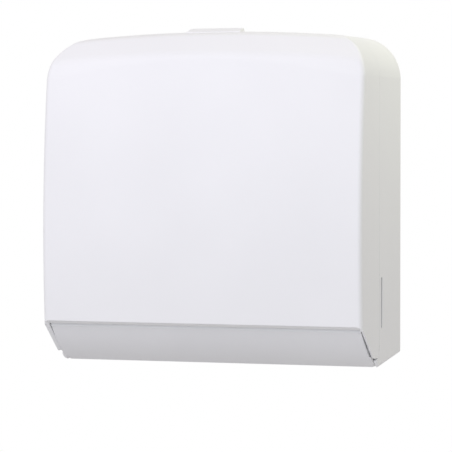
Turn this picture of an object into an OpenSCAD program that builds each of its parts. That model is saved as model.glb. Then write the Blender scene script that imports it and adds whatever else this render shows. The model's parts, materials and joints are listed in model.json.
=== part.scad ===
// Wall mounted dispenser for folded paper towels.
// Two white shells meet at a parting plane: the back shell is screwed to the wall, and the front cover
// swings down on two pins near its lower edge.
// A tray with a curved chin and an exit throat closes the bottom.
// X runs along the wall, Y into the wall and Z up.
// The origin is the middle of the wall screws on the wall face.
// Profiles are drawn as depth from the wall (towards the user) against height above the lowest point.

/* [Overall size] */
// Width of the body
body_w = 270; // [240:1:320]
// Depth from the wall to the foremost point of the cover
body_d = 101.2; // [99:0.2:125]
// Height at the middle of the arched top
body_h = 265; // [250:0.5:320]
// Rise of the arched top over the body's width
arch_rise = 6.7; // [4:0.1:10]
// Radius of the two top corners
corner_r = 34; // [24:1:45]

/* [Shells] */
// Depth of the back shell, up to the parting plane
base_d = 54.5; // [54:0.5:56]
// Wall thickness of the back shell
base_wall = 2.5; // [2:0.1:3]
// Thickness of the wall plate
plate_t = 3; // [2.5:0.1:4]
// Wall thickness of the front cover
cover_wall = 2.5; // [2:0.1:3]
// Gap between the two rims at the parting plane
rim_gap = 0.3; // [0.2:0.05:0.6]
// Gap between the ears' round rears and the notches that they turn in
notch_gap = 0.7; // [0.5:0.05:0.8]
// Radius of the lower side edges
lower_r = 2.4; // [1.5:0.1:2.4]
// Rise of the underside from the chin back to the wall
under_rise = 8; // [4:0.2:10]
// Depth of the lowest line, where the underside turns up into the chin
sole_d = 55; // [54:0.5:57]
// Depth that the back shell's toes reach, in front of the parting plane
toe_d = 61; // [60:0.5:62]
// Height of the toes' tips
toe_z = 4.4; // [3.8:0.1:4.6]

/* [Cover face] */
// Radius of the bowed front, seen from the side
front_r = 1010; // [800:10:1200]
// Height at which the front stands foremost
peak_z = 103; // [80:1:120]
// Height of the face's lower edge
lip_z = 33.8; // [33:0.1:35]
// Depth of the lip that turns in under the face
lip_l = 7.1; // [6:0.1:7.5]
// Drop of the lip's underside from the face to its inner edge
lip_drop = 2.6; // [2:0.1:2.8]
// Height of the lip's inner edge
lip_t = 3.8; // [3.2:0.1:4.5]
// Radius of the front's two upright edges
edge_r = 4; // [4:0.5:9]
// Drop from the top of the arch to the crease below the bevel
crease_drop = 22; // [18:0.5:26]
// Turn of the face at the crease, in degrees
crease_turn = 5; // [4:0.5:8]
// Length of the shoulder between the crease and the bevel's corner
shoulder_l = 4.2; // [4:0.1:6]
// Lean of the bevel from upright, in degrees
bevel_tilt = 42; // [38:1:46]
// Radius between shoulder and bevel
crease_r = 15; // [8:1:16]
// Drop from the top of the arch to the bevel's upper corner
crown_drop = 2; // [1.5:0.1:3]
// Lean of the strip between the bevel and the top, in degrees
crown_tilt = 80; // [76:1:82]
// Radius between bevel and crown
crown_r = 8; // [5:0.5:10]

/* [Pull tab] */
// Width of the pull tab
tab_w = 48; // [30:1:70]
// Height of the pull tab above the arch
tab_h = 3; // [2:0.1:4]
// Depth of the pull tab from front to rear
tab_l = 12; // [10:0.5:13]
// Length of the tab's ramp
ramp_l = 8; // [5:0.5:9]
// Distance of the tab's rear face in front of the cover's rim
tab_setback = 1.5; // [1:0.1:2]

/* [Hinge] */
// Depth of the hinge axis from the wall
pivot_d = 67.5; // [67:0.1:68]
// Height of the hinge axis
pivot_z = 17; // [16.5:0.1:17.5]
// Radius of the hinge pins
pin_r = 3; // [2:0.1:3.5]
// Length of a hinge pin
pin_l = 13.6; // [11:0.1:14]
// Running clearance round the pins in the ears
pin_clear = 0.05; // [0.02:0.01:0.1]
// Radius of the bosses inside the ears
ear_boss_r = 4.6; // [4.4:0.1:4.8]
// Height of the ears' flat feet
foot_z = 7.5; // [7:0.1:8]
// Depth at which the slanted edge of an ear meets its foot
foot_d = 69.5; // [69:0.1:71]
// Radius of the ears' front foot corners
foot_r = 2; // [1:0.5:3]
// Width of the bevel on the inner edge of the ears
ear_bevel = 2; // [1:0.1:2.2]
// Depth of plastic left outside the ears' blind bores
ear_skin = 1.5; // [1:0.1:1.8]
// Play between faces that move past each other
run_gap = 0.3; // [0.2:0.05:0.5]

/* [Towel tray] */
// Radius of the chin
chin_r = 90; // [80:1:110]
// Wall thickness of the tray
tray_wall = 2.5; // [2:0.1:3]
// Height at which the chin turns upright behind the lip
chin_top_z = 30.1; // [29:0.1:30.4]
// Clear depth between the chin and the lip's inner edge
chin_gap = 1.2; // [1:0.1:1.5]
// Height of the tray's rim
tray_rim_z = 38; // [36:0.5:42]
// Gap between the chin's ends and the inside of the ears
chin_end_gap = 1; // [0.8:0.1:1.5]
// Gap between the tray's end walls and the inside of the ears
end_wall_gap = 3.3; // [3:0.1:4.5]
// Gap between the tray's floor and the side walls
tray_side_gap = 0.3; // [0.2:0.05:0.5]
// Gap between the tray's rear edge and the wall plate
tray_rear_gap = 0.2; // [0.1:0.05:0.4]
// Radius of the foot's lower corners
foot_corner_r = 3.5; // [2:0.1:4]
// Height of the chin's full-width foot
chin_foot_z = 9; // [7:0.1:10]
// Length of the throat along the wall
throat_w = 205; // [180:1:220]
// Depth of the throat's rear edge from the wall
throat_rear_d = 24; // [22:1:26]
// Width of the throat from rear to front
throat_l = 26; // [22:1:27]
// Radius of the throat's corners
throat_r = 9; // [5:0.5:10]
// Radius of the bosses that hold the pins
pin_boss_r = 6.5; // [6:0.1:6.8]
// Length of these bosses
pin_boss_l = 10; // [8:0.5:12]

/* [Tray screws] */
// Distance of the inner tray screws from the middle
tray_screw_in = 40; // [30:1:60]
// Distance of the outer tray screws from the middle
tray_screw_out = 100; // [90:1:110]
// Height of the tray screws
tray_screw_z = 20; // [18:0.5:22]
// Length of the wall plate's bosses for these screws
tray_boss_l = 6; // [5:0.5:8]
// Radius of these bosses
tray_boss_r = 4.5; // [3.5:0.5:6]
// Height of the tray's rear flange
flange_z = 28; // [27:0.5:32]
// Radius of the tray screws' shanks
tray_screw_r = 1.5; // [1.2:0.1:2]
// Length of the tray screws under the head
tray_screw_l = 9; // [8:0.5:9.5]
// Radius of a screw head
head_r = 3.4; // [3:0.1:4]
// Height of a screw head
head_h = 2; // [1.5:0.1:2.4]
// Clearance of a screw in its pilot hole
pilot_clear = 0.02; // [0.01:0.01:0.05]
// Room in a blind hole beyond a screw's tip
tip_gap = 1; // [0.5:0.1:1.2]

/* [Wall fixing] */
// Distance between the wall screws along the wall
mount_w = 180; // [150:1:200]
// Distance between the wall screws in height
mount_h = 150; // [120:1:160]
// Height of the pattern's middle
mount_z = 135; // [125:1:145]
// Radius of the wall screw holes
mount_hole_r = 2.75; // [2:0.05:3.5]
// Radius of the raised pads round these holes
mount_pad_r = 9; // [7:0.5:11]
// Height of the pads and ribs on the wall plate
rib_h = 2.5; // [1.5:0.1:3]
// Thickness of the ribs on the wall plate
rib_t = 1.6; // [1.2:0.1:2.5]

/* [Sight slits] */
// Distance of the sight slits behind the parting plane
slit_setback = 4; // [3:0.5:8]
// Width of the sight slits
slit_w = 3.3; // [2.5:0.1:3.9]
// Radius of the slits' corners
slit_r = 1; // [0.5:0.1:1.2]
// Height at which the slits start
slit_z = 30.5; // [26:0.5:40]
// Length of the slits
slit_l = 40; // [25:1:60]

/* [Lock] */
// Depth of the lock's axis from the wall
lock_d = 38; // [36:0.5:40]
// Radius of the lock's body
lock_r = 8; // [7:0.1:8.5]
// Radius of the lock's flange
lock_flange_r = 10; // [9.6:0.1:11]
// Height of the lock's flange
lock_flange_h = 0.9; // [0.7:0.1:1.2]
// Length of the lock's body under the flange
lock_l = 13; // [12:0.5:15]
// Radius of the turning plug
plug_r = 5; // [4:0.1:5.4]
// Radius of the plug's head
plug_head_r = 6.4; // [6:0.1:6.6]
// Height of the plug's head
plug_head_h = 1.4; // [1:0.1:1.8]
// Running clearance round the plug
plug_clear = 0.05; // [0.02:0.01:0.1]
// Side of the square that carries the cam
square_w = 6; // [5:0.1:7]
// Thickness of the cam
cam_t = 2.2; // [1.5:0.1:3]
// Width of the cam
cam_w = 11; // [9.5:0.5:12]
// Reach of the cam from the lock's axis
cam_l = 23; // [21:0.5:25]
// Width of the lock nut across its flats
nut_w = 20; // [18.5:0.5:21]
// Height of the lock nut
nut_h = 4; // [3:0.5:5]
// Radius of the flat seat for the nut
nut_seat_r = 12.5; // [12:0.1:13]
// Height of this seat under the top wall
nut_seat_h = 1.5; // [1:0.1:2]
// Width of the key slot
key_slot_w = 1.4; // [1:0.1:2]
// Length of the key slot
key_slot_l = 8; // [6:0.5:9]
// Depth of the key slot
key_slot_h = 0.9; // [0.5:0.1:1]
// Radius of the cam screw's shank
cam_screw_r = 1.8; // [1.2:0.1:2]
// Length of the cam screw under the head
cam_screw_l = 7; // [5:0.5:9]
// Radius of the cam screw's head
cam_head_r = 4.2; // [4:0.1:5]
// Distance of the cover's hook from the middle
hook_x = 14; // [13.5:0.1:15]
// Width of the hook
hook_w = 6; // [5:0.5:7]
// Thickness of the hook's arm and post
hook_t = 3; // [2.5:0.1:3.5]
// Play between the locked cam and the hook's post
hook_play = 0.8; // [0.5:0.1:1.5]
// Drop of the hook's arm from the top wall
hook_drop = 5.5; // [5:0.1:6]

/* [Catch] */
// Distance of the catch springs from the middle
catch_x = 62; // [50:1:75]
// Width of a catch spring
leaf_w = 12; // [10:0.5:16]
// Thickness of a catch spring
leaf_t = 0.8; // [0.5:0.1:1]
// Drop of the spring's seat from the inside of the top wall
leaf_drop = 2.6; // [2.4:0.1:3]
// Depth of the spring's screw from the wall
leaf_screw_d = 40; // [38:0.5:42]
// Length of the spring behind its screw
leaf_tail = 6; // [5:0.5:8]
// Depth of the rib on the cover that the spring holds
catch_rib_d = 60; // [59:0.5:60.5]
// Thickness of this rib
catch_rib_t = 1.6; // [1.2:0.1:2]
// Height of this rib below the inside of the cover's top
catch_rib_h = 1.6; // [1.4:0.1:1.8]
// Rise of the spring's nose
nose_h = 1.6; // [1.4:0.1:1.8]
// Length of the nose's slope
nose_l = 3; // [2:0.5:3.5]
// Radius of the catch screws' shanks
catch_screw_r = 1.2; // [1:0.1:1.5]
// Length of the catch screws under the head
catch_screw_l = 3; // [2.5:0.1:3.2]
// Radius of the bosses for these screws
catch_boss_r = 4; // [3:0.5:5]

/* [Hidden] */

// Facets of small rounds, and of the long flat arcs
fine = 96;
sweep_fine = 720;
// Oversize of cutting shapes
over = 5;
// Overlap of shapes that are joined, and height of a round above the edges that it joins
overlap = 0.1;
arc_proud = 0.02;
// Step between the face's lower edge and the ears' slant
ear_step = 0.4;
// Reach of the waste outside a round corner, in lengths of the corner's chord
waste_reach = 3;
// Lowest level that cutting shapes reach
low_z = -30;

white = "white";
grey_white = "gainsboro";
steel = "silver";
zinc = "lightsteelblue";

half_w = body_w / 2;
arch_r = (half_w * half_w + arch_rise * arch_rise) / (2 * arch_rise);
arch_z = body_h - arch_r;
corner_x = half_w - corner_r;
corner_z = arch_z + sqrt((arch_r - corner_r) * (arch_r - corner_r) - corner_x * corner_x);
front_axis_d = body_d - front_r;
rim_d = base_d + rim_gap;
ear_r = pivot_d - rim_d;
notch_r = ear_r + notch_gap;

// Depth of the cover's bowed front at a height
function front_d(z) = front_axis_d + sqrt(front_r * front_r - (z - peak_z) * (z - peak_z));
// Height of the underside at a depth
function under_z(d) = under_rise * (sole_d - d) / sole_d;
// Height of the arch at a distance from the middle, for a skin this far inside
function arch_top(x, inset) = arch_z + sqrt((arch_r - inset) * (arch_r - inset) - x * x);

crease_z = body_h - crease_drop;
crease_tilt = asin((crease_z - peak_z) / front_r) + crease_turn;
lip_d = front_d(lip_z);
lip_in = [lip_d - lip_l, lip_z - lip_drop];
ear_in = half_w - cover_wall;
chin_end = ear_in - chin_end_gap;
end_wall = ear_in - end_wall_gap;

// Directions and meeting points of straight profile lines that lean back by an angle
function lean(a) = [-sin(a), cos(a)];
function outward(a) = [cos(a), sin(a)];
function meet(p, a, q, b) = p + lean(a) * cross(q - p, lean(b)) / cross(lean(a), lean(b));

crease_p = [front_d(crease_z), crease_z];
bevel_p = crease_p + shoulder_l * lean(crease_tilt);
crown_p = meet(bevel_p, bevel_tilt, [0, body_h - crown_drop], 90);

// Polygon whose convex corners are rounded by true arcs: a radius of 0 keeps a corner sharp.
// Each arc stands proud of its two edges by a hair, so that it crosses them at a small angle.
function unit(v) = v / norm(v);
function corner_half(p, a, b) = acos(unit(a - p) * unit(b - p)) / 2;
function corner_centre(p, a, b, r) = p + unit(unit(a - p) + unit(b - p)) * r / sin(corner_half(p, a, b));
function corner_end(p, a, b, r) = p + unit(a - p) * r / tan(corner_half(p, a, b));

// What a round corner takes off: the triangle outside its chord, less the round itself
module corner_waste(from, to, centre, r) {
    across = unit(to - from) * over;
    peak = (from + to) / 2 + unit((from + to) / 2 - centre) * waste_reach * norm(to - from);
    difference() {
        polygon([from - across, peak, to + across]);
        translate(centre) circle(r + arc_proud, $fn = fine);
    }
}

module rounded_polygon(points, radii) {
    n = len(points);
    difference() {
        polygon(points);
        for (i = [0:n - 1]) if (radii[i] > 0) {
            p = points[i];
            a = points[(i + n - 1) % n];
            b = points[(i + 1) % n];
            corner_waste(corner_end(p, a, b, radii[i]), corner_end(p, b, a, radii[i]),
                         corner_centre(p, a, b, radii[i]), radii[i]);
        }
    }
}

// Extrusions of a depth and height profile along the wall, and of a front view outline in depth
module side_extrude(x_low, x_high) {
    translate([x_high, 0, 0]) rotate([90, 0, -90]) linear_extrude(x_high - x_low) children();
}

module front_extrude(d_low, d_high) {
    translate([0, -d_low, 0]) rotate([90, 0, 0]) linear_extrude(d_high - d_low) children();
}

// Cylinders along the wall's X axis, and along the depth
module x_cylinder(x_low, x_high, d, z, r) {
    translate([x_low, -d, z]) rotate([0, 90, 0]) cylinder(h = x_high - x_low, r = r, $fn = fine);
}

module d_cylinder(d_low, d_high, x, z, r) {
    translate([x, -d_low, z]) rotate([90, 0, 0]) cylinder(h = d_high - d_low, r = r, $fn = fine);
}

module z_cylinder(z_low, z_high, x, d, r) {
    translate([x, -d, z_low]) cylinder(h = z_high - z_low, r = r, $fn = fine);
}

// Block given by its ranges along the wall, in depth and in height
module block(x, d, z) {
    translate([x[0], -d[1], z[0]]) cube([x[1] - x[0], d[1] - d[0], z[1] - z[0]]);
}

module both_sides() {
    for (m = [0, 1]) mirror([m, 0, 0]) children();
}

module placed() {
    translate([0, 0, -mount_z]) children();
}

// Front view outline: upright sides, two round corners and the arch, a skin this far inside
module outline(inset, bottom) {
    side_x = half_w - inset;
    r = corner_r - inset;
    up = unit([corner_x, corner_z - arch_z]);
    difference() {
        intersection() {
            translate([-side_x, bottom]) square([2 * side_x, body_h + over - bottom]);
            translate([0, arch_z]) circle(arch_r - inset, $fn = 2 * sweep_fine);
        }
        for (s = [-1, 1]) {
            centre = [s * corner_x, corner_z];
            corner_waste(centre + [s * r, 0], centre + [s * up[0], up[1]] * r, centre, r);
        }
    }
}

// Bowed front with two round upright edges, swept about its axis behind the wall
module bowed_front(inset) {
    r = front_r - inset;
    x = half_w - inset;
    round_r = edge_r - inset;
    reach = body_d - base_d + 4 * over;
    from = -asin((peak_z - low_z) / front_r);
    to = asin((body_h + 2 * over - peak_z) / front_r);
    translate([0, -front_axis_d, peak_z]) rotate([90, 0, -90]) rotate([0, 0, from])
        rotate_extrude(angle = to - from, $fn = sweep_fine)
            rounded_polygon([[front_r - reach, -x], [r, -x], [r, x], [front_r - reach, x]],
                            [0, round_r, round_r, 0]);
}

// Everything under the shoulder, the bevel and the crown, swept along the arch
module arched_bevel(inset) {
    shoulder = crease_p - inset * outward(crease_tilt);
    bevel = bevel_p - inset * outward(bevel_tilt);
    crown = crown_p - inset * outward(crown_tilt);
    corners = [[-over, low_z],
               meet(shoulder, crease_tilt, [0, low_z], 90),
               meet(shoulder, crease_tilt, bevel, bevel_tilt),
               meet(bevel, bevel_tilt, crown, crown_tilt),
               meet(crown, crown_tilt, [-over, 0], 0)];
    sweep = asin((half_w + over) / (low_z - arch_z));
    translate([0, 0, arch_z]) rotate([90, 0, 0]) rotate([0, 0, 90 - sweep])
        rotate_extrude(angle = 2 * sweep, $fn = 2 * sweep_fine)
            rounded_polygon([for (p = corners) [p[1] - arch_z, p[0]]],
                            [0, 0, crease_r - inset, crown_r - inset, 0]);
}

module cover_form(inset, rear_d) {
    intersection() {
        bowed_front(inset);
        arched_bevel(inset);
        front_extrude(rear_d, body_d + over) outline(inset, low_z + over);
    }
}

// Slanted front edge of the ears, which ends a little below the face
ear_foot = [foot_d, foot_z];
ear_along = unit([lip_d, lip_z - ear_step] - ear_foot);
ear_slant = atan2(ear_along[0], ear_along[1]);

// Side view of the cover: slanted ear edge, flat foot and the round behind the hinge axis
module cover_side() {
    high = body_h + over;
    front = body_d + over;
    slant_end = ear_foot + ear_along * (front - foot_d) / ear_along[0];
    rounded_polygon([[rim_d, high], [front, high], slant_end, ear_foot, [pivot_d, foot_z],
                     [pivot_d, pivot_z], [rim_d, pivot_z]],
                    [0, 0, 0, foot_r, 0, 0, 0]);
    intersection() {
        translate([pivot_d, pivot_z]) circle(ear_r, $fn = fine);
        translate([rim_d - over, foot_z]) square([ear_r + over, pivot_z - foot_z]);
    }
}

// Room between the ears, under the lip
module lip_opening() {
    front = body_d + over;
    rise = lip_drop * (front - lip_in[0]) / lip_l;
    side_extrude(-ear_in, ear_in)
        polygon([[rim_d - over, low_z], [front, low_z], [front, lip_in[1] + rise], lip_in,
                 [rim_d - over, lip_in[1]]]);
}

// Inside of the cover, behind the lip
module cover_room() {
    difference() {
        cover_form(cover_wall, rim_d - over);
        block([-half_w, half_w], [lip_in[0], body_d + over], [low_z, lip_in[1] + lip_t]);
    }
}

// What the bevel takes off the inner edge of an ear, along its slant and below the lip
module ear_bevel_waste() {
    edge = cross(ear_along, ear_foot);
    corner = [ear_in + ear_bevel, edge];
    intersection() {
        rotate([ear_slant, 0, 0]) linear_extrude(2 * body_d)
            polygon([corner + [over, -over], corner - [over, -over] - [ear_bevel, -ear_bevel],
                     corner - [over, over] - [ear_bevel, 0]]);
        block([0, half_w + over], [0, body_d + over], [low_z, lip_in[1] - overlap]);
    }
}

// Wedge on the top rim: a ramp from the front, a short flat and an upright rear face
module pull_tab() {
    rear = rim_d + tab_setback;
    front = rear + tab_l;
    top = body_h + tab_h;
    root = body_h - cover_wall / 2;
    side_extrude(-tab_w / 2, tab_w / 2)
        polygon([[rear, root], [front, root], [front, body_h], [front - ramp_l, top], [rear, top]]);
}

// Hook that the lock's cam holds: a root under the top, an arm back over the parting plane and a post
hook_top = body_h - cover_wall - hook_drop;
cam_top = body_h - lock_l - run_gap;
cam_low = cam_top - cam_t;
hook_rear = lock_d - cam_w / 2 - hook_play - hook_t;
module lock_hook() {
    x = [hook_x, hook_x + hook_w];
    root = [rim_d + hook_t, rim_d + 2 * hook_t];
    block(x, root, [hook_top - hook_t, body_h - cover_wall / 2]);
    block(x, [hook_rear, root[1]], [hook_top - hook_t, hook_top]);
    block(x, [hook_rear, hook_rear + hook_t], [cam_low - hook_play, hook_top]);
}

module catch_ribs() {
    both_sides()
        block([catch_x - leaf_w / 2, catch_x + leaf_w / 2], [catch_rib_d, catch_rib_d + catch_rib_t],
              [arch_top(catch_x, cover_wall) - catch_rib_h, arch_top(catch_x + leaf_w, cover_wall / 2)]);
}

module front_cover() {
    color(white) placed() difference() {
        union() {
            difference() {
                intersection() {
                    cover_form(0, rim_d);
                    side_extrude(-half_w - over, half_w + over) cover_side();
                }
                cover_room();
                lip_opening();
                both_sides() ear_bevel_waste();
            }
            pull_tab();
            lock_hook();
            catch_ribs();
            both_sides()
                x_cylinder(end_wall + run_gap, ear_in + cover_wall / 2, pivot_d, pivot_z, ear_boss_r);
        }
        both_sides() x_cylinder(end_wall - over, half_w - ear_skin, pivot_d, pivot_z, pin_r + pin_clear);
    }
}

// Side view of the back shell: underside, toe, round notch for the ear and the parting plane
module base_side() {
    high = body_h + over;
    difference() {
        polygon([[-over, high], [base_d, high], [base_d, pivot_z], [toe_d, pivot_z], [toe_d, toe_z],
                 [sole_d, 0], [-over, under_z(-over)]]);
        intersection() {
            translate([pivot_d, pivot_z]) circle(notch_r, $fn = fine);
            translate([base_d - over, pivot_z - 2 * notch_r]) square([notch_r + over, 2 * notch_r]);
        }
    }
}

// What the rounds take off the lower side edges, along the underside
module lower_edge_waste() {
    centre = [half_w - lower_r, lower_r];
    translate([0, -sole_d, 0]) rotate([atan(under_rise / sole_d), 0, 0]) front_extrude(-2 * sole_d, 2 * over)
        corner_waste(centre + [lower_r, 0], centre - [0, lower_r], centre, lower_r);
}

// Raised pads and ribs on the inside of the wall plate
mount_points = [for (sx = [-1, 1], sz = [-1, 1]) [sx * mount_w / 2, mount_z + sz * mount_h / 2]];
tray_screw_x = [-tray_screw_out, -tray_screw_in, tray_screw_in, tray_screw_out];
tray_screw_points = [for (x = tray_screw_x) [x, tray_screw_z]];
module plate_ribs() {
    d = [plate_t / 2, plate_t + rib_h];
    for (p = mount_points) d_cylinder(d[0], d[1], p[0], p[1], mount_pad_r);
    for (p = tray_screw_points) d_cylinder(d[0], plate_t + tray_boss_l, p[0], p[1], tray_boss_r);
    for (z = [mount_z - mount_h / 2, mount_z, mount_z + mount_h / 2])
        block([-half_w + base_wall / 2, half_w - base_wall / 2], d, [z - rib_t / 2, z + rib_t / 2]);
    for (x = [-mount_w / 2, 0, mount_w / 2])
        block([x - rib_t / 2, x + rib_t / 2], d, [mount_z - mount_h / 2, mount_z + mount_h / 2]);
}

top_in = body_h - base_wall;
nut_top = top_in - nut_seat_h;
leaf_top = arch_top(catch_x + leaf_w / 2, base_wall) - leaf_drop;
module top_bosses() {
    z_cylinder(nut_top, body_h - base_wall / 2, 0, lock_d, nut_seat_r);
    both_sides()
        z_cylinder(leaf_top, arch_top(catch_x + leaf_w, base_wall / 2), catch_x, leaf_screw_d, catch_boss_r);
}

module sight_slits() {
    front = base_d - slit_setback;
    rear = front - slit_w;
    top = slit_z + slit_l;
    side_extrude(-half_w - over, half_w + over)
        rounded_polygon([[rear, slit_z], [front, slit_z], [front, top], [rear, top]],
                        [slit_r, slit_r, slit_r, slit_r]);
}

module back_shell() {
    color(white) placed() difference() {
        union() {
            intersection() {
                difference() {
                    front_extrude(0, toe_d) outline(0, low_z + over);
                    front_extrude(plate_t, toe_d + over) outline(base_wall, low_z);
                }
                side_extrude(-half_w - over, half_w + over) base_side();
            }
            plate_ribs();
            top_bosses();
        }
        for (p = mount_points) d_cylinder(-over, plate_t + rib_h + over, p[0], p[1], mount_hole_r);
        for (p = tray_screw_points)
            d_cylinder(flange_front - tray_screw_l - tip_gap, flange_front, p[0], p[1], tray_screw_r);
        both_sides()
            z_cylinder(leaf_low, leaf_low + catch_screw_l + tip_gap, catch_x, leaf_screw_d, catch_screw_r);
        z_cylinder(nut_top - over, body_h + over, 0, lock_d, lock_r + pilot_clear);
        sight_slits();
        both_sides() lower_edge_waste();
    }
}

// Chin arc through its top point behind the lip and its foot at the lowest line
chin_top = [lip_in[0] - chin_gap, chin_top_z];
chin_foot = [sole_d, 0];
chin_mid = (chin_top + chin_foot) / 2;
chin_half = norm(chin_top - chin_foot) / 2;
chin_across = unit(chin_top - chin_foot);
chin_centre = chin_mid + [-chin_across[1], chin_across[0]] * sqrt(chin_r * chin_r - chin_half * chin_half);
tray_side = half_w - base_wall - tray_side_gap;
tray_rear = plate_t + tray_rear_gap;

// The chin's curved wall with its upright rim behind the lip
module chin_band() {
    far = 2 * chin_r;
    foot_ray = unit(chin_foot - chin_centre) * far;
    top_ray = unit(chin_top - chin_centre) * far;
    intersection() {
        difference() {
            translate(chin_centre) circle(chin_r, $fn = 2 * fine);
            translate(chin_centre) circle(chin_r - tray_wall, $fn = 2 * fine);
        }
        translate(chin_centre) polygon([[0, 0], foot_ray, foot_ray + top_ray, top_ray]);
    }
    translate([chin_top[0] - overlap - tray_wall, chin_top_z - tray_wall / 2])
        square([tray_wall, tray_rim_z - chin_top_z + tray_wall / 2]);
}

// What the rounds take off the foot's lower corners
module foot_corner_waste() {
    centre = [tray_side - foot_corner_r, foot_corner_r];
    front_extrude(throat_rear_d, body_d)
        corner_waste(centre + [foot_corner_r, 0], centre - [0, foot_corner_r], centre, foot_corner_r);
}

// Floor plate along the underside, from the wall plate into the chin's foot
module floor_plate() {
    front = sole_d + tray_wall / 2;
    polygon([[front, tray_wall / 2], [sole_d, overlap], [tray_rear, under_z(tray_rear) + overlap],
             [tray_rear, under_z(tray_rear) + tray_wall], [sole_d, tray_wall], [front, tray_wall]]);
}

// End wall of the tray, from the wall plate into the chin
module tray_end() {
    front = chin_top[0] - overlap - tray_wall / 2;
    difference() {
        polygon([[tray_rear, under_z(tray_rear) + tray_wall / 2], [sole_d, tray_wall / 2],
                 [front, tray_wall / 2], [front, tray_rim_z], [tray_rear, tray_rim_z]]);
        difference() {
            translate([sole_d, low_z]) square([body_d - sole_d, chin_top_z - low_z]);
            translate(chin_centre) circle(chin_r - tray_wall / 2, $fn = 2 * fine);
        }
    }
}

module throat() {
    front = throat_rear_d + throat_l;
    translate([0, 0, low_z]) linear_extrude(flange_z - low_z)
        rounded_polygon([[-throat_w / 2, -front], [throat_w / 2, -front], [throat_w / 2, -throat_rear_d],
                         [-throat_w / 2, -throat_rear_d]],
                        [throat_r, throat_r, throat_r, throat_r]);
}

flange_rear = plate_t + tray_boss_l + tray_rear_gap;
flange_front = flange_rear + tray_wall;
module towel_tray() {
    color(grey_white) placed() difference() {
        union() {
            side_extrude(-chin_end, chin_end) chin_band();
            side_extrude(-tray_side, tray_side) intersection() {
                chin_band();
                translate([0, low_z]) square([body_d, chin_foot_z - low_z]);
            }
            side_extrude(-tray_side, tray_side) floor_plate();
            both_sides() side_extrude(end_wall - tray_wall, end_wall) tray_end();
            block([-end_wall, end_wall], [flange_rear, flange_front],
                  [under_z(flange_front) + tray_wall / 2, flange_z]);
            both_sides() x_cylinder(end_wall - pin_boss_l, end_wall, pivot_d, pivot_z, pin_boss_r);
        }
        throat();
        both_sides() foot_corner_waste();
        for (p = tray_screw_points)
            d_cylinder(flange_rear - over, flange_front + over, p[0], p[1], tray_screw_r + pin_clear);
        both_sides()
            x_cylinder(end_wall - pin_boss_l - over, end_wall + over, pivot_d, pivot_z, pin_r + pilot_clear);
    }
}

// Hinge pins: held in the tray's bosses, with their free ends in the ears
pin_out = half_w - ear_skin - run_gap;
module hinge_pin_right() {
    color(steel) placed() x_cylinder(pin_out - pin_l, pin_out, pivot_d, pivot_z, pin_r);
}

module hinge_pin_left() {
    color(steel) placed() x_cylinder(-pin_out, -pin_out + pin_l, pivot_d, pivot_z, pin_r);
}

module tray_screws() {
    color(steel) placed() for (p = tray_screw_points) {
        d_cylinder(flange_front - tray_screw_l, flange_front, p[0], p[1], tray_screw_r - pilot_clear);
        d_cylinder(flange_front, flange_front + head_h, p[0], p[1], head_r);
    }
}

// Leaf from its screw under the back shell's top to a raised nose in front of the cover's rib
nose_foot = catch_rib_d + catch_rib_t + run_gap;
leaf_low = leaf_top - leaf_t;
module catch_springs() {
    rear = leaf_screw_d - leaf_tail;
    crest = nose_foot + nose_l;
    tip = crest + nose_l;
    color(steel) placed() both_sides() difference() {
        side_extrude(catch_x - leaf_w / 2, catch_x + leaf_w / 2)
            polygon([[rear, leaf_low], [nose_foot, leaf_low], [crest, leaf_low + nose_h], [tip, leaf_low],
                     [tip, leaf_top], [crest, leaf_top + nose_h], [nose_foot, leaf_top], [rear, leaf_top]]);
        z_cylinder(leaf_low - over, leaf_top + over, catch_x, leaf_screw_d, catch_screw_r + pin_clear);
    }
}

module catch_screws() {
    color(steel) placed() both_sides() {
        z_cylinder(leaf_low, leaf_low + catch_screw_l, catch_x, leaf_screw_d, catch_screw_r - pilot_clear);
        z_cylinder(leaf_low - head_h, leaf_low, catch_x, leaf_screw_d, head_r);
    }
}

// Cam lock in the top of the back shell: body and nut stay, plug, cam and screw turn
lock_low = body_h - lock_l;
lock_face = body_h + lock_flange_h;
module lock_body() {
    color(zinc) placed() difference() {
        union() {
            z_cylinder(lock_low, lock_face, 0, lock_d, lock_r);
            z_cylinder(body_h, lock_face, 0, lock_d, lock_flange_r);
        }
        z_cylinder(lock_low - over, lock_face + over, 0, lock_d, plug_r + plug_clear);
        z_cylinder(lock_face - plug_head_h, lock_face + over, 0, lock_d, plug_head_r + plug_clear);
    }
}

module lock_nut() {
    color(zinc) placed() difference() {
        translate([0, -lock_d, nut_top - nut_h]) cylinder(h = nut_h, d = nut_w / cos(30), $fn = 6);
        z_cylinder(nut_top - nut_h - over, nut_top + over, 0, lock_d, lock_r + pilot_clear);
    }
}

module lock_plug() {
    color(zinc) placed() difference() {
        union() {
            z_cylinder(lock_face - plug_head_h + plug_clear, lock_face, 0, lock_d, plug_head_r);
            z_cylinder(cam_top, lock_face, 0, lock_d, plug_r);
            translate([-square_w / 2, -lock_d - square_w / 2, cam_low])
                cube([square_w, square_w, cam_t + overlap]);
        }
        block([-key_slot_w / 2, key_slot_w / 2], [lock_d - key_slot_l / 2, lock_d + key_slot_l / 2],
              [lock_face - key_slot_h, lock_face + over]);
        z_cylinder(cam_low - over, cam_low + cam_screw_l + tip_gap, 0, lock_d, cam_screw_r + pilot_clear);
    }
}

// Arm of the cam, pointing to the user while unlocked
module lock_cam() {
    r = cam_w / 2;
    hole = square_w + 2 * plug_clear;
    color(steel) placed() translate([0, -lock_d, cam_low]) linear_extrude(cam_t) difference() {
        rounded_polygon([[-r, r], [-r, -cam_l], [r, -cam_l], [r, r]],
                        [r - plug_clear, r / 2, r / 2, r - plug_clear]);
        square(hole, center = true);
    }
}

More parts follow.
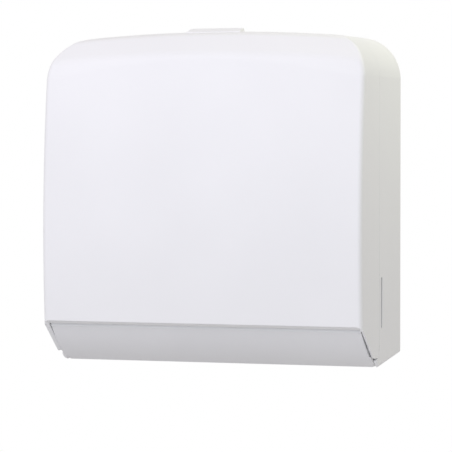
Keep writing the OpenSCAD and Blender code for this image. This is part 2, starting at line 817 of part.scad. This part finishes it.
module cam_screw() {
    color(steel) placed() {
        z_cylinder(cam_low, cam_low + cam_screw_l, 0, lock_d, cam_screw_r);
        z_cylinder(cam_low - head_h, cam_low, 0, lock_d, cam_head_r);
    }
}

back_shell();
towel_tray();
front_cover();
hinge_pin_left();
hinge_pin_right();
tray_screws();
catch_springs();
catch_screws();
lock_body();
lock_nut();
lock_plug();
lock_cam();
cam_screw();
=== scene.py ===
import json
import math

import bmesh
import bpy
from mathutils import Matrix, Vector


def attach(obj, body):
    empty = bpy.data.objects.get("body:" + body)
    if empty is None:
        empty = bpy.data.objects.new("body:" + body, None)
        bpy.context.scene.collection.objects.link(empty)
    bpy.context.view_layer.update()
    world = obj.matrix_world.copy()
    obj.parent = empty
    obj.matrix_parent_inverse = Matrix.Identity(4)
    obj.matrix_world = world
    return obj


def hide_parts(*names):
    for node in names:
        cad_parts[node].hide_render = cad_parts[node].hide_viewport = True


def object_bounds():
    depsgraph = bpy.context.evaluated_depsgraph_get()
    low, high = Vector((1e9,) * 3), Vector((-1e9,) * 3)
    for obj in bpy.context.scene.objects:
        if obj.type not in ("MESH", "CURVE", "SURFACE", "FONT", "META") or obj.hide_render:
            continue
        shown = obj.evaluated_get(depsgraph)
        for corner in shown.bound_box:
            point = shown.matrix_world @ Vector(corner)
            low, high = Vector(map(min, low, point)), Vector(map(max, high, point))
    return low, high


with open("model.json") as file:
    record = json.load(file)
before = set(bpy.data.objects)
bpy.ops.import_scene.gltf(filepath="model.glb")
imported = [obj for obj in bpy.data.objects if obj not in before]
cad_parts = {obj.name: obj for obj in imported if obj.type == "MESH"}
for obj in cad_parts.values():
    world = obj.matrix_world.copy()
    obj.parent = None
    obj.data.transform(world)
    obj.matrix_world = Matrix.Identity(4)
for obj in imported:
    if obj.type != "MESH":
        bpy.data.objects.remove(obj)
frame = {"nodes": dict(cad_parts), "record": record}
cad_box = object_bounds()

# Camera at the photograph's angle: a long lens from the right, a little above the middle
AZIMUTH = math.radians(20.6)
DISTANCE = 2.2947
EYE_HEIGHT = 0.0302
AIM_LEFT = math.radians(0.35)
AIM_DOWN = math.radians(1.413)
LENS_MM = 222.8
CAMERA_REACH = 100

# Pale floor below the object, outside the photograph's frame
FLOOR_DROP = 0.18
FLOOR_RADIUS = 0.75
FLOOR_FADE = 0.35
FLOOR_STEPS = 96
FLOOR_COLOUR = (0.8, 0.8, 0.8, 1)

# Light of the surroundings, and the background that the camera and reflections show
AMBIENT = (0.5, 0.485, 0.48, 1)
WHITE = (1, 1, 1, 1)

# Soft boxes: name, place, aim, edge length, power and colour. Those in front are cool, the other two warm
LAMPS = (
    ("front", (0.5, -2.0, 0.3), (0, -0.1, 0), 0.8, 8.7, (0.84, 0.91, 1.0)),
    ("left", (-0.3, -0.9, 0.55), (-0.05, -0.1, 0.1), 0.4, 3.1, (0.91, 0.88, 1.0)),
    ("low", (0, -1.5, -0.9), (0, -0.1, -0.1), 0.8, 3.1, (0.76, 0.81, 1.0)),
    ("top", (0.35, -0.25, 1.2), (0.05, -0.05, 0), 0.8, 1.5, (1.0, 0.94, 0.88)),
    ("side", (0.33, 0.05, 0.3), (0.135, -0.04, 0.1), 0.2, 0.33, (0.95, 1.0, 0.78)),
)

# Base colours of the finishes
WHITE_ABS = (0.87, 0.87, 0.875)
# The tray's base colour is darker and a little bluer than the shell's white: partly a greyer plastic, partly
# painted shade for the chin that faces down under the lip
TRAY_ABS_PAINTED_SHADE = (0.81, 0.81, 0.82)
ZINC_STEEL = (0.56, 0.57, 0.58)
NICKEL = (0.66, 0.65, 0.62)

# Moulded plastic: slow drift of tone and gloss, fine eroded grain, and strength of the reflection
TONE_SCALE = 9
TONE_DETAIL = 2
TONE_DRIFT = 0.012
TONE_STOPS = (0.35, 0.65)
GLOSS_DRIFT = 0.04
GRAIN_SCALE = 1600
GRAIN_DETAIL = 3
GRAIN_DEPTH = 0.0002
ABS_IOR = 1.5
ABS_SPECULAR = 0.2

# Plated metal: darkest and lightest share of its tone, drift of gloss, and relief of its drawn lines
LINE_TONES = (0.88, 1.08)
LINE_DETAIL = 4
LINE_GLOSS = 0.06
LINE_RELIEF = 0.1
LINE_DEPTH = 0.0001

# One millimetre in the frame, and the height of its origin above the object's lowest line, in millimetres
MM = 0.001
MOUNT_Z = 135

# The cover's sizes are in millimetres: depth from the wall, height above the lowest line
# Outline, wall and bowed face. The depth is a hair less than the solid's, to stay inside its box
HALF_W = 135
BODY_D = 101.18
BODY_H = 265
ARCH_RISE = 6.7
CORNER_R = 34
WALL = 2.5
RIM_D = 54.65
FRONT_R = 1010
PEAK_Z = 103
EDGE_R = 4

# Crease, shoulder, bevel and crown under the arched top
CREASE_DROP = 22
CREASE_TURN = math.radians(5)
SHOULDER_L = 4.2
CREASE_R = 15
BEVEL_TILT = math.radians(42)
CROWN_DROP = 2
CROWN_TILT = math.radians(80)
CROWN_R = 8

# Lip that turns in under the face
LIP_Z = 33.8
LIP_L = 7.1
LIP_DROP = 2.6
LIP_T = 3.8
LIP_SKIN = 0.4
LIP_EDGE = 0.1

# Ears that turn on the hinge pins, with blind bores in bosses
PIVOT = (67.5, 17)
EAR_R = 12.7
EAR_STEP = 0.4
EAR_BEVEL = 2
EAR_SKIN = 1.5
FOOT = (69.5, 7.5)
FOOT_R = 3
BOSS_X = 129.5
BOSS_R = 4.6
BORE_R = 3.05

# Pull tab on the top, with slanting ends
TAB_W = 46
TAB_TAPER = 1.2
TAB_H = 3
TAB_L = 12
RAMP_L = 8
TAB_SETBACK = 1.5
TAB_EDGE = 0.5

# Hook for the lock's cam and ribs for the leaf springs, inside the top
HOOK_X = (14, 20)
HOOK_T = 3
HOOK_ROOT_D = 57.8
HOOK_REAR_D = 28.7
HOOK_TOP = 257
HOOK_LOW = 248.7
RIB_X = (56, 68)
RIB_D = (60, 61.6)
RIB_H = 1.6
SMALL_EDGE = 0.3

# Length by which lip and bosses reach into the walls
OVERLAP = 0.1

# Screws, in millimetres in the frame: node, body, seats, turn about X, shank radius, length and head radius
SCREWS = (
    ("tray_screws", "base", [(x, -11.7, -115) for x in (-100, -40, 40, 100)], math.radians(90), 1.48, 9, 3.4),
    ("catch_screws", "base", [(x, -40, 122.4) for x in (-62, 62)], math.radians(180), 1.18, 3, 3.4),
    ("cam_screw", "lock", [(0, -38, 114.5)], math.radians(180), 1.8, 7, 4.2),
)
TIP_L = 1.2
HEAD_H = 2

# Forms of a screw, as shares: pitch, core and tip of the shank's radius, and the head's radius and height
THREAD_PITCH = 0.7
THREAD_CORE = 0.75
TIP_R = 0.2
HEAD_PROFILE = ((1, 0), (1, 0.4), (0.97, 0.62), (0.88, 0.82), (0.7, 1))

# Cross recess at its mouth and floor: arm and half width as shares of the head's radius, then of its height
RECESS_MOUTH = (0.5, 0.13, 1)
RECESS_FLOOR = (0.3, 0.09, 0.4)

# Fineness of the meshes, in millimetres and in steps
FACE_STEP = 3.5
COLUMNS = 80
CORNER_STEPS = 44
RING_STEPS = 10
ROUND_STEPS = 12
BORE_STEPS = 48
EDGE_PASSES = 8
SLOPE_STEP = 0.1
SCREW_STEPS = 28
THREAD_STEPS = 6
BEVEL_SEGMENTS = 2
SHARP_ANGLE = math.radians(28)
FACE_WEIGHT = 100

ARCH_R = (HALF_W ** 2 + ARCH_RISE ** 2) / (2 * ARCH_RISE)
ARCH_Z = BODY_H - ARCH_R
CORNER_X = HALF_W - CORNER_R
CORNER_Z = ARCH_Z + math.sqrt((ARCH_R - CORNER_R) ** 2 - CORNER_X ** 2)
EAR_IN = HALF_W - WALL


def add_object(name, data):
    """New object in the scene."""
    made = bpy.data.objects.new(name, data)
    bpy.context.scene.collection.objects.link(made)
    return made


def make_camera():
    """Camera that sees the object as the photograph does."""
    data = bpy.data.cameras.new("camera")
    data.lens = LENS_MM
    data.clip_end = CAMERA_REACH
    camera = add_object("camera", data)
    camera.location = (DISTANCE * math.sin(AZIMUTH), -DISTANCE * math.cos(AZIMUTH), EYE_HEIGHT)
    camera.rotation_euler = (math.radians(90) - AIM_DOWN, 0, AZIMUTH + AIM_LEFT)
    bpy.context.scene.camera = camera


def soft_box(name, place, aim, size, power, colour):
    """Square lamp turned towards a point, and itself not seen by the camera."""
    data = bpy.data.lights.new(name, "AREA")
    data.size = size
    data.energy = power
    data.color = colour
    lamp = add_object(name, data)
    lamp.location = place
    lamp.rotation_euler = (Vector(aim) - Vector(place)).to_track_quat("-Z", "Y").to_euler()
    lamp.visible_camera = False


class Shader:
    """Node tree of a new material or world, with short calls to add and join nodes."""

    def __init__(self, owner):
        owner.use_nodes = True
        self.nodes = owner.node_tree.nodes
        self.links = owner.node_tree.links
        self.nodes.clear()

    def add(self, kind, inputs=None, **settings):
        """New node. An input that is a socket is linked, and a number or colour is set."""
        node = self.nodes.new(kind)
        for key, value in settings.items():
            setattr(node, key, value)
        for key, value in (inputs or {}).items():
            if isinstance(value, bpy.types.NodeSocket):
                self.links.new(value, node.inputs[key])
            else:
                node.inputs[key].default_value = value
        return node

    def noise(self, place, scale, detail):
        """Noise value at a place."""
        texture = self.add("ShaderNodeTexNoise", {"Vector": place, "Scale": scale, "Detail": detail})
        return texture.outputs["Fac"]

    def largest(self, first, second):
        """The larger of two values."""
        return self.add("ShaderNodeMath", {0: first, 1: second}, operation="MAXIMUM").outputs[0]

    def tone(self, value, colours, stops):
        """Colour between two colours that follows a value between two stops."""
        ramp = self.add("ShaderNodeValToRGB", {"Fac": value})
        for element, colour, stop in zip(ramp.color_ramp.elements, colours, stops):
            element.position = stop
            element.color = colour
        return ramp.outputs["Color"]

    def around(self, value, middle, drift):
        """Number that follows a value, within a drift on either side of a middle."""
        limits = {"Value": value, "To Min": middle - drift, "To Max": middle + drift}
        return self.add("ShaderNodeMapRange", limits).outputs[0]

    def relief(self, height, strength, depth):
        """Surface normal of a fine relief."""
        bump = self.add("ShaderNodeBump", {"Height": height, "Strength": strength, "Distance": depth})
        return bump.outputs["Normal"]

    def blend(self, share, first, second):
        """Mix of two shaders."""
        return self.add("ShaderNodeMixShader", {0: share, 1: first.outputs[0], 2: second.outputs[0]})

    def show(self, kind, shader):
        """Output of the tree."""
        self.add(kind, {"Surface": shader.outputs[0]})


def make_world():
    """Even soft light all round, and plain white where the camera or a reflection shows the background."""
    world = bpy.data.worlds.new("studio")
    bpy.context.scene.world = world
    shader = Shader(world)
    ambient = shader.add("ShaderNodeBackground", {"Color": AMBIENT, "Strength": 1})
    white = shader.add("ShaderNodeBackground", {"Color": WHITE, "Strength": 1})
    ray = shader.add("ShaderNodeLightPath").outputs
    seen = shader.largest(ray["Is Camera Ray"], ray["Is Glossy Ray"])
    seen = shader.largest(seen, ray["Is Transmission Ray"])
    shader.show("ShaderNodeOutputWorld", shader.blend(seen, ambient, white))


def make_floor():
    """Pale round floor that fades out to the white background, open when seen from below."""
    mesh = bpy.data.meshes.new("floor")
    turns = [2 * math.pi * i / FLOOR_STEPS for i in range(FLOOR_STEPS)]
    ring = [(math.cos(turn) * FLOOR_RADIUS, math.sin(turn) * FLOOR_RADIUS, 0) for turn in turns]
    mesh.from_pydata(ring, [], [list(range(FLOOR_STEPS))])
    floor = add_object("floor", mesh)
    low, high = cad_box
    floor.location = ((low[0] + high[0]) / 2, (low[1] + high[1]) / 2, low[2] - FLOOR_DROP)
    material = bpy.data.materials.new("floor")
    shader = Shader(material)
    place = shader.add("ShaderNodeTexCoord").outputs["Object"]
    far = shader.add("ShaderNodeVectorMath", {0: place}, operation="LENGTH").outputs["Value"]
    limits = {"Value": far, "From Min": FLOOR_FADE, "From Max": FLOOR_RADIUS}
    fade = shader.add("ShaderNodeMapRange", limits, interpolation_type="SMOOTHSTEP").outputs[0]
    below = shader.add("ShaderNodeNewGeometry").outputs["Backfacing"]
    matt = shader.add("ShaderNodeBsdfDiffuse", {"Color": FLOOR_COLOUR})
    clear = shader.add("ShaderNodeBsdfTransparent")
    shader.show("ShaderNodeOutputMaterial", shader.blend(shader.largest(fade, below), matt, clear))
    mesh.materials.append(material)


def scaled(colour, share):
    """Lighter or darker colour, with full alpha."""
    return [min(1, channel * share) for channel in colour] + [1]


def moulded_plastic(name, colour, roughness, grain):
    """Moulded ABS: a fine eroded texture, slightly uneven gloss and a faint drift of tone."""
    material = bpy.data.materials.new(name)
    shader = Shader(material)
    place = shader.add("ShaderNodeTexCoord").outputs["Object"]
    drift = shader.noise(place, TONE_SCALE, TONE_DETAIL)
    tones = (scaled(colour, 1 - TONE_DRIFT), scaled(colour, 1 + TONE_DRIFT))
    erosion = shader.noise(place, GRAIN_SCALE, GRAIN_DETAIL)
    shader.show("ShaderNodeOutputMaterial", shader.add("ShaderNodeBsdfPrincipled", {
        "Base Color": shader.tone(drift, tones, TONE_STOPS),
        "Roughness": shader.around(drift, roughness, GLOSS_DRIFT),
        "Normal": shader.relief(erosion, grain, GRAIN_DEPTH),
        "IOR": ABS_IOR,
        "Specular IOR Level": ABS_SPECULAR,
    }))
    return material


def plated_metal(name, colour, roughness, line_scale):
    """Plated metal with fine drawn lines along the axis that has the smallest scale."""
    material = bpy.data.materials.new(name)
    shader = Shader(material)
    place = shader.add("ShaderNodeTexCoord").outputs["Object"]
    drawn = shader.add("ShaderNodeMapping", {"Vector": place, "Scale": line_scale}).outputs[0]
    lines = shader.noise(drawn, 1, LINE_DETAIL)
    tones = [scaled(colour, share) for share in LINE_TONES]
    shader.show("ShaderNodeOutputMaterial", shader.add("ShaderNodeBsdfPrincipled", {
        "Base Color": shader.tone(lines, tones, (0, 1)),
        "Metallic": 1,
        "Roughness": shader.around(lines, roughness, LINE_GLOSS),
        "Normal": shader.relief(lines, LINE_RELIEF, LINE_DEPTH),
    }))
    return material


def at(x, d, z):
    """Place of a point in the frame, in metres."""
    return Vector((x * MM, -d * MM, (z - MOUNT_Z) * MM))


def arch_top(x, inset):
    """Height of the arched top, or of a line at an inset below it."""
    return ARCH_Z + math.sqrt((ARCH_R - inset) ** 2 - x ** 2)


def front_d(z):
    """Depth of the bowed face at a height."""
    return BODY_D - FRONT_R + math.sqrt(FRONT_R ** 2 - (z - PEAK_Z) ** 2)


def leaning(start, tilt, length):
    """Point further up a profile line that leans back."""
    return (start[0] - length * math.sin(tilt), start[1] + length * math.cos(tilt))


def rounded(before, corner, after, radius):
    """Points of the arc that rounds a corner between two neighbours, from the one to the other."""
    corner = Vector(corner)
    to_before = (Vector(before) - corner).normalized()
    to_after = (Vector(after) - corner).normalized()
    half = to_before.angle(to_after) / 2
    centre = corner + (to_before + to_after).normalized() * radius / math.sin(half)
    start = corner + to_before * radius / math.tan(half) - centre
    end = corner + to_after * radius / math.tan(half) - centre
    turn = start.angle_signed(end)
    points = []
    for i in range(ROUND_STEPS + 1):
        spoke = start.copy()
        spoke.rotate(Matrix.Rotation(-turn * i / ROUND_STEPS, 2))
        points.append(tuple(centre + spoke))
    return points


def bevel_profile():
    """Depths and heights of shoulder, bevel and crown on the middle line, from the shoulder up."""
    crease_z = BODY_H - CREASE_DROP
    crease = (front_d(crease_z), crease_z)
    shoulder_tilt = math.asin((crease_z - PEAK_Z) / FRONT_R) + CREASE_TURN
    shoulder = leaning(crease, shoulder_tilt, SHOULDER_L)
    crown = leaning(shoulder, BEVEL_TILT, (BODY_H - CROWN_DROP - shoulder[1]) / math.cos(BEVEL_TILT))
    top = leaning(crown, CROWN_TILT, 2 * CROWN_DROP / math.cos(CROWN_TILT))
    low = leaning(crease, shoulder_tilt, -CREASE_DROP)
    return [low] + rounded(low, shoulder, crown, CREASE_R) + rounded(shoulder, crown, top, CROWN_R) + [top]


PROFILE = bevel_profile()
EAR_TOP = (front_d(LIP_Z), LIP_Z - EAR_STEP)


def bevel_d(z):
    """Depth of shoulder, bevel and crown at a height on the middle line."""
    for (d0, z0), (d1, z1) in zip(PROFILE, PROFILE[1:]):
        if z <= z1:
            return d0 + (d1 - d0) * (z - z0) / (z1 - z0)
    return PROFILE[-1][0]


def face_d(x, z):
    """Depth of the cover's face, before its edges are rounded."""
    return min(front_d(z), bevel_d(ARCH_Z + math.hypot(x, z - ARCH_Z)))


def edge_point(x, z, out):
    """Point of the face where the round at the outline starts, and the face's slope there."""
    slope = 0
    for _ in range(EDGE_PASSES):
        inset = EDGE_R * (1 - math.sin(slope))
        px = x - out[0] * inset
        pz = z - out[1] * inset
        inner_d = face_d(px - out[0] * SLOPE_STEP, pz - out[1] * SLOPE_STEP)
        slope = math.atan((inner_d - face_d(px, pz)) / SLOPE_STEP)
    return px, pz, slope


def cover_ends():
    """Outline points on the right from the lip to the arch, with their outward directions."""
    side_rows = round((CORNER_Z - LIP_Z) / FACE_STEP)
    ends = [(HALF_W, LIP_Z + (CORNER_Z - LIP_Z) * i / side_rows, (1, 0)) for i in range(side_rows)]
    arch_turn = math.asin(CORNER_X / (ARCH_R - CORNER_R))
    for i in range(CORNER_STEPS + 1):
        turn = math.pi / 2 + (arch_turn - math.pi / 2) * i / CORNER_STEPS
        out = (math.sin(turn), math.cos(turn))
        ends.append((CORNER_X + CORNER_R * out[0], CORNER_Z + CORNER_R * out[1], out))
    return ends, side_rows


def slant_z(d):
    """Height of the ears' slanted front edge at a depth."""
    return FOOT[1] + (d - FOOT[0]) * (EAR_TOP[1] - FOOT[1]) / (EAR_TOP[0] - FOOT[0])


def ear_edge():
    """Lower edge of an ear in side view, from the slant's top over the foot to the rim."""
    points = rounded(EAR_TOP, FOOT, (PIVOT[0], FOOT[1]), FOOT_R)
    low = math.asin((PIVOT[1] - FOOT[1]) / EAR_R)
    for i in range(ROUND_STEPS + 1):
        turn = math.pi + low * (1 - i / ROUND_STEPS)
        points.append((PIVOT[0] + EAR_R * math.cos(turn), PIVOT[1] + EAR_R * math.sin(turn)))
    return points


def eased(share):
    """Share from 0 to 1 with a soft start and end."""
    return share * share * (3 - 2 * share)


def face_rows(skin):
    """Bowed face, shoulder, bevel and crown as rows of points, and the loop of points round the face."""
    ends, side_rows = cover_ends()
    rows = []
    right = []
    left = []
    top = []
    for i, (x, z, out) in enumerate(ends):
        px, pz, slope = edge_point(x, z, out)
        inset = ARCH_R - math.hypot(px, pz - ARCH_Z)
        arching = eased(min(1, i / side_rows))
        row = []
        for j in range(COLUMNS + 1):
            rx = px * (2 * j / COLUMNS - 1)
            rz = pz + arching * (arch_top(rx, inset) - pz)
            row.append(skin.verts.new(at(rx, face_d(rx, rz), rz)))
            if i == len(ends) - 1 and 0 < j < COLUMNS:
                span = math.hypot(rx, rz - ARCH_Z)
                top.append((rx, rz, (rx / span, (rz - ARCH_Z) / span), slope, row[-1]))
        rows.append(row)
        right.append((px, pz, out, slope, row[-1]))
        left.append((-px, pz, (-out[0], out[1]), slope, row[0]))
    for low, high in zip(rows, rows[1:]):
        for j in range(COLUMNS):
            skin.faces.new((low[j], low[j + 1], high[j + 1], high[j]))
    return right + top[::-1] + left[::-1], side_rows


def edge_ring(skin, x, z, out, slope, start, at_lip):
    """Points of the round from the face to the wall at one place of the loop."""
    ring = [start]
    for i in range(1, RING_STEPS + 1):
        turn = slope + (math.pi / 2 - slope) * i / RING_STEPS
        shift = EDGE_R * (math.sin(turn) - math.sin(slope))
        d = face_d(x, z) - EDGE_R * (math.cos(slope) - math.cos(turn))
        ring_z = slant_z(d) if at_lip else z + out[1] * shift
        ring.append(skin.verts.new(at(x + out[0] * shift, d, ring_z)))
    return ring


def cover_skin(skin):
    """Outer skin of the cover. Returns its two flat sides, each with the corners of its ear."""
    loop, side_rows = face_rows(skin)
    last = len(loop) - 1
    rings = [edge_ring(skin, *place, at_lip=i in (0, last)) for i, place in enumerate(loop)]
    rim = {}
    for i in range(side_rows, last - side_rows + 1):
        rim[i] = skin.verts.new(rings[i][-1].co)
        rim[i].co.y = -RIM_D * MM
    for i in range(last):
        for k in range(RING_STEPS):
            skin.faces.new((rings[i][k], rings[i][k + 1], rings[i + 1][k + 1], rings[i + 1][k]))
        if i in rim and i + 1 in rim:
            skin.faces.new((rings[i][-1], rim[i], rim[i + 1], rings[i + 1][-1]))
    right_ear = [skin.verts.new(at(HALF_W, d, z)) for d, z in ear_edge()]
    left_ear = [skin.verts.new(at(-HALF_W, d, z)) for d, z in ear_edge()]
    right = [rings[i][-1] for i in range(side_rows, -1, -1)] + right_ear + [rim[side_rows]]
    left = [rings[last - i][-1] for i in range(side_rows, -1, -1)] + left_ear + [rim[last - side_rows]]
    return ((skin.faces.new(right), [rings[0][-1]] + right_ear),
            (skin.faces.new(left[::-1]), [rings[last][-1]] + left_ear))


def bevel_shift(place):
    """How far the bevel moves the inner edge of an ear back from its slant."""
    along = (at(0, *EAR_TOP) - at(0, *FOOT)).normalized()
    inward = Vector((0, along.z, -along.y))
    away = (place - at(0, *FOOT)).dot(inward) / MM
    return inward * max(0, EAR_BEVEL - abs(away)) * MM


def circle(skin, x, radius):
    """Ring of points round the hinge axis."""
    points = []
    for i in range(BORE_STEPS):
        turn = 2 * math.pi * i / BORE_STEPS
        d = PIVOT[0] + radius * math.cos(turn)
        z = PIVOT[1] + radius * math.sin(turn)
        points.append(skin.verts.new(at(x, d, z)))
    return points


def band(skin, first, second):
    """Faces between two closed rings of points."""
    return [skin.faces.new((first[i - 1], first[i], second[i], second[i - 1])) for i in range(len(first))]


def fill_between(skin, *rings):
    """Flat faces inside a closed ring of points, round the ring within it."""
    edges = []
    for ring in rings:
        edges += [skin.edges.get((ring[i - 1], ring[i])) for i in range(len(ring))]
    bmesh.ops.triangle_fill(skin, use_beauty=True, edges=edges)


def thicken(skin, sides):
    """Add the inner skin, the edges between the two skins and the blind bores for the hinge pins."""
    skin.normal_update()
    outer_faces = list(skin.faces)
    outer_edges = [edge for edge in skin.edges if edge.is_boundary]
    inward = {vert: -vert.normal for vert in skin.verts}
    shift = {}
    for face, ear in sides:
        inward.update({vert: -face.normal for vert in face.verts})
        shift.update({vert: bevel_shift(vert.co) for vert in ear})
    inner = {}
    for vert in list(skin.verts):
        inner[vert] = skin.verts.new(vert.co + inward[vert] * WALL * MM + shift.get(vert, Vector()))
    side_faces = [face for face, ear in sides]
    for face in outer_faces:
        if face not in side_faces:
            skin.faces.new([inner[vert] for vert in reversed(face.verts)])
    for edge in outer_edges:
        first, second = edge.verts
        skin.faces.new((first, second, inner[second], inner[first]))
    for face in side_faces:
        side = math.copysign(1, face.normal.x)
        mouth = circle(skin, side * EAR_IN, BORE_R)
        end = circle(skin, side * (HALF_W - EAR_SKIN), BORE_R)
        band(skin, mouth, end)
        skin.faces.new(end)
        fill_between(skin, [inner[vert] for vert in face.verts], mouth)


def boss(skin, side):
    """Tube on the inside of an ear, round the hinge pin."""
    rings = [circle(skin, side * x, radius) for x, radius in
             ((BOSS_X, BORE_R), (BOSS_X, BOSS_R), (EAR_IN + OVERLAP, BOSS_R), (EAR_IN + OVERLAP, BORE_R))]
    for i in range(len(rings)):
        band(skin, rings[i - 1], rings[i])


def prism(skin, profile, x_range, edge, taper=0):
    """Solid with one side view and slightly rounded edges. The taper draws its ends in at the top."""
    top = max(z for d, z in profile)
    ends = []
    for x in x_range:
        lean = math.copysign(taper, x)
        ends.append([skin.verts.new(at(x - lean if z == top else x, d, z)) for d, z in profile])
    faces = band(skin, *ends) + [skin.faces.new(end) for end in ends]
    bmesh.ops.recalc_face_normals(skin, faces=faces)
    edges = list({line for face in faces for line in face.edges})
    bmesh.ops.bevel(skin, geom=edges, offset=edge * MM, segments=BEVEL_SEGMENTS, profile=0.5, affect="EDGES")


def add_lip(skin):
    """Lip between the ears, under the face."""
    front = EAR_TOP[0] - LIP_SKIN
    rear = EAR_TOP[0] - LIP_L
    low = LIP_Z - LIP_DROP
    profile = [(front, LIP_Z - LIP_SKIN * LIP_DROP / LIP_L), (rear, low), (rear, low + LIP_T),
               (front - WALL / 2, low + LIP_T)]
    prism(skin, profile, (-EAR_IN - OVERLAP, EAR_IN + OVERLAP), LIP_EDGE)


def add_tab(skin):
    """Pull tab: a ramp from the front, a short flat and an upright rear face."""
    root = BODY_H - WALL / 2
    rear = RIM_D + TAB_SETBACK
    front = rear + TAB_L
    top = BODY_H + TAB_H
    profile = [(rear, root), (front, root), (front, BODY_H), (front - RAMP_L, top), (rear, top)]
    prism(skin, profile, (-TAB_W / 2, TAB_W / 2), TAB_EDGE, TAB_TAPER)


def add_hook(skin):
    """Hook for the lock's cam: a root under the top, an arm to the rear and a post down from its end."""
    root = BODY_H - WALL / 2
    root_front = HOOK_ROOT_D + HOOK_T
    arm_low = HOOK_TOP - HOOK_T
    post_front = HOOK_REAR_D + HOOK_T
    profile = [(HOOK_REAR_D, HOOK_LOW), (post_front, HOOK_LOW), (post_front, arm_low), (root_front, arm_low),
               (root_front, root), (HOOK_ROOT_D, root), (HOOK_ROOT_D, HOOK_TOP), (HOOK_REAR_D, HOOK_TOP)]
    prism(skin, profile, HOOK_X, SMALL_EDGE)


def add_rib(skin, side):
    """Rib under the top that a leaf spring holds."""
    low = arch_top(sum(RIB_X) / 2, WALL) - RIB_H
    high = arch_top(RIB_X[1], WALL / 2)
    profile = [(RIB_D[0], low), (RIB_D[1], low), (RIB_D[1], high), (RIB_D[0], high)]
    prism(skin, profile, (side * RIB_X[0], side * RIB_X[1]), SMALL_EDGE)


def make_cover(material):
    """The front cover as one smooth moulding, with the same round along its whole front edge."""
    skin = bmesh.new()
    thicken(skin, cover_skin(skin))
    add_lip(skin)
    add_tab(skin)
    add_hook(skin)
    for side in (-1, 1):
        add_rib(skin, side)
        boss(skin, side)
    add_piece("moulded_cover", skin, "cover", "front_cover", material)


def turned_ring(skin, radii, z):
    """Ring of points round the Z axis, with a radius for each step of the turn."""
    ring = []
    for i, radius in enumerate(radii):
        turn = 2 * math.pi * i / SCREW_STEPS
        ring.append(skin.verts.new((radius * math.cos(turn), radius * math.sin(turn), z)))
    return ring


def thread_rings(skin, radius, length):
    """Rings of a tapping screw's shank from its tip up to the seat, with one helical ridge."""
    pitch = THREAD_PITCH * radius
    rows = round(length / pitch * THREAD_STEPS)
    rings = []
    for i in range(rows + 1):
        z = -length + length * i / rows
        taper = min(1, TIP_R + (z + length) / TIP_L)
        phases = [(z / pitch - step / SCREW_STEPS) % 1 for step in range(SCREW_STEPS)]
        teeth = [1 - abs(2 * phase - 1) for phase in phases]
        radii = [radius * taper * (THREAD_CORE + (1 - THREAD_CORE) * tooth) for tooth in teeth]
        rings.append(turned_ring(skin, radii, z))
    return rings


def cross_points(skin, head_r, shares):
    """Outline of a cross recess at one height of the head."""
    arm = head_r * shares[0]
    half_width = head_r * shares[1]
    z = HEAD_H * shares[2]
    points = []
    for quarter in range(4):
        turn = Matrix.Rotation(math.pi / 2 * quarter, 2)
        for corner in ((arm, -half_width), (arm, half_width), (half_width, half_width)):
            points.append(skin.verts.new((*(turn @ Vector(corner)), z)))
    return points


def screw(skin, radius, length, head_r):
    """Pan head screw with a cross recess, its seat at the origin and its head along Z."""
    rings = thread_rings(skin, radius, length)
    for across, up in HEAD_PROFILE:
        rings.append(turned_ring(skin, [head_r * across] * SCREW_STEPS, HEAD_H * up))
    skin.faces.new(rings[0])
    for low, high in zip(rings, rings[1:]):
        band(skin, low, high)
    mouth = cross_points(skin, head_r, RECESS_MOUTH)
    floor = cross_points(skin, head_r, RECESS_FLOOR)
    band(skin, mouth, floor)
    skin.faces.new(floor)
    fill_between(skin, rings[-1], mouth)
    bmesh.ops.scale(skin, vec=(MM, MM, MM), verts=skin.verts)


def add_piece(name, skin, body, node, material):
    """Object from a mesh in the frame that rides a body in place of a CAD node."""
    bmesh.ops.recalc_face_normals(skin, faces=skin.faces)
    mesh = bpy.data.meshes.new(name)
    skin.to_mesh(mesh)
    skin.free()
    mesh.shade_smooth()
    mesh.set_sharp_from_angle(angle=SHARP_ANGLE)
    mesh.materials.append(material)
    piece = add_object(name, mesh)
    even = piece.modifiers.new("even", "WEIGHTED_NORMAL")
    even.keep_sharp = True
    even.weight = FACE_WEIGHT
    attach(piece, body)
    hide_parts(node)


def make_screws(material):
    """Threaded screws in place of the CAD's plain ones."""
    for node, body, seats, turn, radius, length, head_r in SCREWS:
        one = bmesh.new()
        screw(one, radius, length, head_r)
        single = bpy.data.meshes.new(node)
        one.to_mesh(single)
        one.free()
        skin = bmesh.new()
        for seat in seats:
            before = len(skin.verts)
            skin.from_mesh(single)
            skin.verts.ensure_lookup_table()
            place = Matrix.Translation(Vector(seat) * MM) @ Matrix.Rotation(turn, 4, "X")
            bmesh.ops.transform(skin, matrix=place, verts=skin.verts[before:])
        bpy.data.meshes.remove(single)
        add_piece("threaded_" + node, skin, body, node, material)


def dress(node_name, material):
    """Give a CAD node its finish."""
    node = frame["nodes"][node_name]
    node.data.materials.clear()
    node.data.materials.append(material)


bpy.context.scene.view_settings.view_transform = "Standard"
make_camera()
make_world()
make_floor()
for lamp in LAMPS:
    soft_box(*lamp)

FINISHES = {
    "shell": moulded_plastic("shell_abs", WHITE_ABS, roughness=0.42, grain=0.12),
    # Tray plastic whose darker base colour holds painted shade for the chin under the lip
    "tray": moulded_plastic("tray_abs_painted_shade", TRAY_ABS_PAINTED_SHADE, roughness=0.52, grain=0.2),
    "steel": plated_metal("zinc_steel", ZINC_STEEL, roughness=0.34, line_scale=(90, 2500, 2500)),
    "lock": plated_metal("nickel", NICKEL, roughness=0.22, line_scale=(1800, 1800, 120)),
}
for part in frame["record"]["subparts"]:
    dress(part["node"], FINISHES[part["material_slot"]])
make_cover(FINISHES["shell"])
make_screws(FINISHES["steel"])
